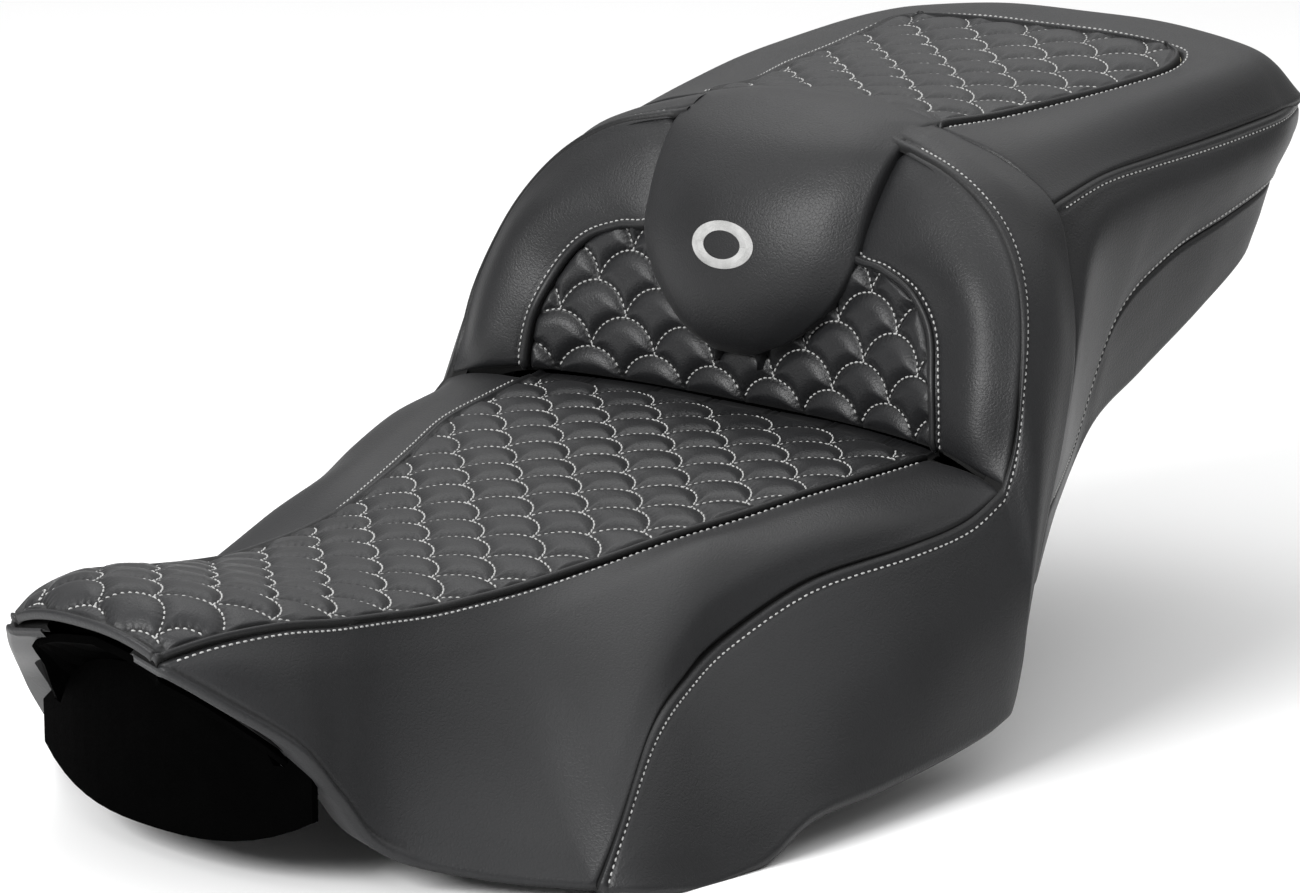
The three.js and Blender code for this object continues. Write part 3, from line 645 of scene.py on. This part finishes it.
def leather(name, dark, light, roughness, grain=1.0):
    """Pebble-grained vinyl: two near-blacks in slow patches, painted shade in the seams, fine cells in the
    bump.
    """
    made, nodes, links, shader = new_material(name, roughness)
    place = nodes.new("ShaderNodeTexCoord").outputs["Object"]
    cells = add_node(nodes, "ShaderNodeTexVoronoi", Scale=780.0)
    crease = add_node(nodes, "ShaderNodeTexVoronoi", feature="DISTANCE_TO_EDGE", Scale=430.0)
    patches = add_node(nodes, "ShaderNodeTexNoise", Scale=9.0, Detail=4.0)
    fine = add_node(nodes, "ShaderNodeTexNoise", Scale=1500.0, Detail=3.0)
    for texture in (cells, crease, patches, fine):
        links.new(place, texture.inputs["Vector"])
    groove_shade = add_node(nodes, "ShaderNodeAttribute", attribute_name="groove_shade")
    patched = scaled(nodes, links, patches.outputs[0], 0.35, 0.65, 0, 1)
    ground = blend_colours(nodes, links, patched, dark, light)
    pits = scaled(nodes, links, crease.outputs["Distance"], 0.0, 0.09, 0.35, 0.0)
    ground = blend_colours(nodes, links, pits, ground, tuple(c * 0.5 for c in dark))
    # painted shade from the panels' seams and stitch lines
    ground = blend_colours(nodes, links, groove_shade.outputs["Fac"], ground, PAINTED_SEAM_SHADE)
    links.new(ground, shader.inputs["Base Color"])
    gloss = scaled(nodes, links, patches.outputs[0], 0.3, 0.7, roughness - 0.05, roughness + 0.07)
    rougher = nodes.new("ShaderNodeMath")
    rougher.operation = "MAXIMUM"
    links.new(gloss, rougher.inputs[0])
    links.new(scaled(nodes, links, groove_shade.outputs["Fac"], 0.2, 1.0, 0.0, 0.9), rougher.inputs[1])
    links.new(rougher.outputs[0], shader.inputs["Roughness"])
    shader.inputs["Specular IOR Level"].default_value = 0.36
    shader.inputs["Sheen Weight"].default_value = 0.03
    shader.inputs["Sheen Roughness"].default_value = 0.4
    pebble = add_node(nodes, "ShaderNodeBump", Strength=0.22 * grain, Distance=0.0004)
    pebble.invert = True
    links.new(cells.outputs["Distance"], pebble.inputs["Height"])
    wrinkle = add_node(nodes, "ShaderNodeBump", Strength=0.18 * grain, Distance=0.0003)
    links.new(scaled(nodes, links, crease.outputs["Distance"], 0.0, 0.12, 0, 1), wrinkle.inputs["Height"])
    links.new(pebble.outputs[0], wrinkle.inputs["Normal"])
    hide = add_node(nodes, "ShaderNodeBump", Strength=0.15, Distance=0.0002)
    links.new(fine.outputs[0], hide.inputs["Height"])
    links.new(wrinkle.outputs[0], hide.inputs["Normal"])
    links.new(hide.outputs[0], shader.inputs["Normal"])
    return made


def plain(name, dark, light, roughness, scale, bump, shine=0.5):
    """Moulded, coated or woven stuff: slow colour patches and a fine noise in the bump."""
    made, nodes, links, shader = new_material(name, roughness)
    place = nodes.new("ShaderNodeTexCoord").outputs["Object"]
    slow = add_node(nodes, "ShaderNodeTexNoise", Scale=scale / 20, Detail=3.0)
    fine = add_node(nodes, "ShaderNodeTexNoise", Scale=scale, Detail=5.0)
    for texture in (slow, fine):
        links.new(place, texture.inputs["Vector"])
    patched = scaled(nodes, links, slow.outputs[0], 0.3, 0.7, 0, 1)
    links.new(blend_colours(nodes, links, patched, dark, light), shader.inputs["Base Color"])
    smoothest, roughest = max(roughness - 0.08, 0.05), min(roughness + 0.08, 1)
    uneven = scaled(nodes, links, fine.outputs[0], 0.3, 0.7, smoothest, roughest)
    links.new(uneven, shader.inputs["Roughness"])
    rough = add_node(nodes, "ShaderNodeBump", Strength=bump, Distance=0.0003)
    shader.inputs["Specular IOR Level"].default_value = shine
    links.new(fine.outputs[0], rough.inputs["Height"])
    links.new(rough.outputs[0], shader.inputs["Normal"])
    return made


def scrim_and_shade(foam):
    """Black scrim on every face of the foam but its top; the black is also painted shade where the foam shows
    in the gaps at the hem.
    """
    nodes, links = foam.node_tree.nodes, foam.node_tree.links
    shader = nodes["Principled BSDF"]
    colour = shader.inputs["Base Color"].links[0].from_socket
    faces = nodes.new("ShaderNodeSeparateXYZ")
    links.new(nodes.new("ShaderNodeNewGeometry").outputs["True Normal"], faces.inputs[0])
    top = scaled(nodes, links, faces.outputs["Z"], 0.6, 0.8, 0, 1)
    links.new(blend_colours(nodes, links, top, SCRIM_AND_SHADE_BLACK, colour), shader.inputs["Base Color"])
    shader.inputs["Specular IOR Level"].default_value = 0.1
    return foam


LEATHER = {
    "quilted_vinyl": leather("quilted_vinyl", (0.0100, 0.0102, 0.0110), (0.0136, 0.0139, 0.0152), 0.41),
    "cover_vinyl": leather("cover_vinyl", (0.0094, 0.0096, 0.0104), (0.0128, 0.0131, 0.0143), 0.44),
}
BINDING = leather("binding_vinyl", (0.008, 0.0082, 0.0088), (0.012, 0.0122, 0.013), 0.42, grain=0.5)
THREAD_FINISH = plain(
    "light_thread", (0.36, 0.36, 0.355), (0.48, 0.48, 0.475), 0.8, scale=2600, bump=0.5, shine=0.2
)
# black plastic, made nearly without colour or shine so that it is also painted shade: it stands in for the
# shaded hollow under the seat
PLASTIC_AND_SHADE = plain(
    "pan_plastic", (0.0003, 0.0003, 0.0003), (0.0006, 0.0006, 0.0006), 0.8, scale=900, bump=0.3, shine=0.01
)
STEEL = plain("powder_coat", (0.016, 0.016, 0.017), (0.022, 0.022, 0.023), 0.45, scale=1800, bump=0.3)
RUBBER = plain("rubber", (0.012, 0.012, 0.012), (0.02, 0.02, 0.02), 0.8, scale=700, bump=0.3)
FOAM = scrim_and_shade(plain("foam", (0.50, 0.46, 0.34), (0.60, 0.56, 0.44), 0.95, scale=1200, bump=0.6))
GEL = plain("gel", (0.08, 0.16, 0.24), (0.10, 0.20, 0.30), 0.3, scale=60, bump=0.1)

# ---- The cover -----------------------------------------------------------------------------------
FINE = 1.35  # grid of a quilted panel
COARSE = 2.2  # grid of a smooth one
ROUND_BEAD = 4.2  # width of the roll along a quilted panel's seams
REAR = 6  # station of the rear corner seam

rider_side = patch([RIDER_SEAM, SIDE_HIGH, SIDE_LOW, SIDE_EDGE], {3: [6]})
skirt = patch([SKIRT_SEAM, SKIRT_MID, SKIRT_EDGE], {0: [8]})
wing = patch([WING_INNER, WING_MID, SKIRT_SEAM[8:]])
border = patch([whole(BORDER_IN), whole(BORDER_MID), whole(BORDER_OUT)])
pillion_side = patch([line[: REAR + 1] for line in (BORDER_OUT, PILLION_HIP, PILLION_LOWER)])
pillion_skirt = patch([line[: REAR + 1] for line in (PILLION_LOWER, PILLION_HEM)])
rear = patch([whole(line[REAR:]) for line in (BORDER_OUT, PILLION_HIP, PILLION_LOWER, PILLION_HEM)])

panel(
    "rider_quilted_cover", "rider_quilted_panel", crowned(RIDER_CENTRE, RIDER_SEAM, power=2.6), -1, FINE,
    {"u0": HEM, "u1": FOLD, "v0": SEAM, "v1": SEAM}, "quilted_vinyl", quilted(RIDER_SCALES, axis=1, height=2.9),
    beads={"u0": 4.0, "v0": ROUND_BEAD, "v1": ROUND_BEAD}, tuck=(0, 9, 2),
)
both(
    "rider_side_panel", rider_side, COARSE, {"u0": HEM, "u1": CREASE, "v0": SEAM, "v1": (HEM, 0.43, SEAM)},
    "cover_vinyl", band=("v1", 0.0, 0.3), tuck=(-20, 2, 3), seed=2, fill=0.8,
)
both(
    "lower_skirt", skirt, COARSE, {"u0": HEM, "u1": SOFT, "v0": SEAM, "v1": (HEM, 0.53, SOFT)}, "cover_vinyl",
    band=("v0", 0.0, 1.0), tuck=(-11, 0, 3), puff=1.2, seed=3, fill=0.8,
)
both(
    "backrest_wing", wing, COARSE, {"u0": CREASE, "u1": CREASE, "v0": SEAM, "v1": SEAM}, "cover_vinyl",
    band=("v0", 0.0, 0.8), tuck=(-18, 7, 0), puff=2.0, seed=4, fill=0.85,
)
panel(
    "backrest_insert_cover", "backrest_quilted_insert", crowned(INSERT_CENTRE, WING_INNER[:7], power=3), -1,
    FINE,
    {"u0": FOLD, "u1": TUCKED, "v0": SEAM, "v1": SEAM}, "quilted_vinyl",
    quilted(BACK_SCALES, axis=2, height=4.6),
)
panel(
    "lumbar_tongue_cover", "lumbar_tongue_pad", crowned(TONGUE_CENTRE, TONGUE_EDGE, power=2.4), -1, COARSE,
    {"u0": HEM, "u1": FOLD, "v0": HEM, "v1": HEM}, "cover_vinyl", tuck=(0, 13, 0), puff=2.0, seed=5, fill=0.9,
)
panel(
    "pillion_quilted_cover", "pillion_quilted_panel", crowned(PILLION_CENTRE, PILLION_SEAM, power=2.4), -1,
    FINE, {"u0": FOLD, "u1": SEAM, "v0": SEAM, "v1": SEAM}, "quilted_vinyl",
    quilted(PILLION_SCALES, axis=1, height=2.7),
    beads={"u1": ROUND_BEAD, "v0": ROUND_BEAD, "v1": ROUND_BEAD},
)
panel(
    "pillion_border_cover", "pillion_top_border", border, -1, COARSE,
    {"u0": SOFT, "u1": SOFT, "v0": SEAM, "v1": SEAM}, "cover_vinyl", puff=1.5, seed=6, fill=0.85,
)
both(
    "pillion_side_panel", pillion_side, COARSE, {"u0": FOLD, "u1": SEAM, "v0": SEAM, "v1": SEAM},
    "cover_vinyl", band=("v0", 0.02, 1.0), puff=1.5, seed=7, fill=0.8,
)
both(
    "pillion_lower_skirt", pillion_skirt, COARSE, {"u0": FOLD, "u1": SEAM, "v0": SEAM, "v1": HEM},
    "cover_vinyl", puff=1.0, seed=8, fill=0.75,
)
panel(
    "rear_cover", "rear_panel", rear, -1, COARSE, {"u0": SEAM, "u1": SEAM, "v0": SEAM, "v1": HEM},
    "cover_vinyl", band=("v0", 0.0, 1.0), puff=1.2, seed=9, fill=0.8,
)

# ---- Seams and piping of this seat ---------------------------------------------------------------
sew("rider_quilt_stitching", quilt_stitches("rider_quilted_cover", RIDER_SCALES, axis=1, margin=5.6))
sew("backrest_quilt_stitching", quilt_stitches("backrest_insert_cover", BACK_SCALES, axis=2, margin=3.0))
sew("pillion_quilt_stitching", quilt_stitches("pillion_quilted_cover", PILLION_SCALES, axis=1, margin=5.6))
CLOSE = 3.2  # from a seam to topstitching that has no band
LOWER = 4.5  # from the passenger side's lower seam to its topstitching
seams = []
for side in ("left", "right"):
    seams += [
        beside(f"rider_side_panel_{side}_cover", "v0", CLOSE, 0.02, 0.99),
        beside(f"lower_skirt_{side}_cover", "v0", BAND, 0.01, 0.995),
        beside(f"backrest_wing_{side}_cover", "v0", BAND, 0.01, 0.78),
        beside(f"pillion_side_panel_{side}_cover", "v0", BAND, 0.03, 0.99),
        beside(f"pillion_side_panel_{side}_cover", "v1", LOWER, 0.02, 0.99),
    ]
seams.append(beside("rear_cover", "v0", BAND, 0.01, 0.99))
seams.append(beside("pillion_border_cover", "v0", CLOSE, 0.005, 0.995))
sew("seam_topstitching", seams)

PIPING_IN, PIPING_UP = 2.6, 0.6  # from the wing's inner seam to the piping, and how far it stands off
PIPING_HALF = (2.7, 2.0)
PIPING_STEP = 2.0
for side in ("left", "right"):
    path, normal = beside(f"backrest_wing_{side}_cover", "v0", PIPING_IN, 0.0, 0.8)
    path, normal = resample(path, normal, PIPING_STEP)
    piping = cord(f"insert_piping_{side}", path + normal * PIPING_UP, normal, *PIPING_HALF)
    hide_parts(f"insert_binding_{side}")

# ---- Mark on the tongue pad: a plain oval ring in satin stitch -----------------------------------
MARK_Z, MARK_HALF = 254, (22, 13)
MARK_SHARES = (0.6, 0.8, 1.0)  # of the half sizes, where each stitch starts, peaks and ends
MARK_STITCHES, MARK_THREAD = 210, 0.40


def ring_paths():
    """One short path outwards across the ring for every stitch, on the pad's surface."""
    tree = tree_of("lumbar_tongue_cover")
    for turn in np.linspace(0, 2 * math.pi, MARK_STITCHES, endpoint=False):
        path, normal = [], []
        for share in MARK_SHARES:
            x, z = MARK_HALF[0] * share * math.cos(turn), MARK_Z + MARK_HALF[1] * share * math.sin(turn)
            place, n, _, _ = tree.ray_cast(Vector((x, AHEAD, z)), Vector((0, 1, 0)))
            path.append(tuple(place))
            normal.append(tuple(n if n.y < 0 else -n))
        yield np.array(path), np.array(normal)


mark = to_mesh("tongue_mark", *satin(ring_paths(), MARK_THREAD), THREAD_FINISH)
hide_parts("emblem_patch")

# ---- CAD nodes that stay -------------------------------------------------------------------------
FINISHES = {  # by how a node's name starts; the rest is foam
    # nose_apron is a black wall under the nose, put where the seat's hollow is only in shade
    "seat_pan": PLASTIC_AND_SHADE, "nose_apron": PLASTIC_AND_SHADE, "front_mount": STEEL, "rear_mounting": STEEL,
    "front_bracket": STEEL, "rear_tab": STEEL, "rubber": RUBBER, "rider_gel": GEL,
}
for name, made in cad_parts.items():
    finish = next((known for start, known in FINISHES.items() if name.startswith(start)), FOAM)
    made.data.materials.clear()
    made.data.materials.append(finish)

# ---- Stage, light and camera, in metres ----------------------------------------------------------
FLOOR_HALF = 30
AMBIENT = 0.34  # strength of the white world
LENS, SENSOR, CLIP_END = 124.64, 36, 100
AZIMUTH, ELEVATION = math.radians(41.92), math.radians(13.74)
CAMERA_PLACE = (1.6109, -1.8000, 0.73685)

corners = [(x * FLOOR_HALF, y * FLOOR_HALF, 0) for x, y in ((-1, -1), (1, -1), (1, 1), (-1, 1))]
floor_mesh = bpy.data.meshes.new("floor")
floor_mesh.from_pydata(corners, [], [(0, 1, 2, 3)])
floor = bpy.data.objects.new("floor", floor_mesh)
bpy.context.scene.collection.objects.link(floor)
floor_mesh.materials.append(plain("floor", (0.95, 0.95, 0.95), (0.97, 0.97, 0.97), 0.95, scale=3, bump=0.0))

world = bpy.data.worlds.new("studio")
world.use_nodes = True
sky = world.node_tree.nodes["Background"]
sky.inputs["Color"].default_value = (1.0, 1.0, 1.0, 1)
sky.inputs["Strength"].default_value = AMBIENT
bpy.context.scene.world = world
bpy.context.scene.view_settings.view_transform = "Standard"


def soft_light(name, place, target, size, power):
    lamp = bpy.data.lights.new(name, "AREA")
    lamp.shape, lamp.energy = "RECTANGLE", power
    lamp.size, lamp.size_y = size
    made = bpy.data.objects.new(name, lamp)
    bpy.context.scene.collection.objects.link(made)
    made.location = place
    made.rotation_euler = (Vector(target) - Vector(place)).to_track_quat("-Z", "Y").to_euler()


soft_light("ceiling", place=(-0.6, 1.2, 3.6), target=(-0.6, 1.2, 0), size=(9, 9), power=240)
soft_light("overhead", place=(-0.7, 0.3, 1.9), target=(0, 0, 0.2), size=(1.0, 1.0), power=6)
soft_light("front", place=(-0.1, -2.7, 1.7), target=(0, 0, 0.2), size=(1.5, 1.1), power=92)

sideways, ahead = math.sin(AZIMUTH) * math.cos(ELEVATION), math.cos(AZIMUTH) * math.cos(ELEVATION)
view = Vector((-sideways, ahead, -math.sin(ELEVATION)))
lens = bpy.data.cameras.new("camera")
lens.lens, lens.sensor_width, lens.clip_end = LENS, SENSOR, CLIP_END
camera = bpy.data.objects.new("camera", lens)
bpy.context.scene.collection.objects.link(camera)
camera.location = CAMERA_PLACE
camera.rotation_mode = "QUATERNION"
camera.rotation_quaternion = view.to_track_quat("-Z", "Y")
bpy.context.scene.camera = camera
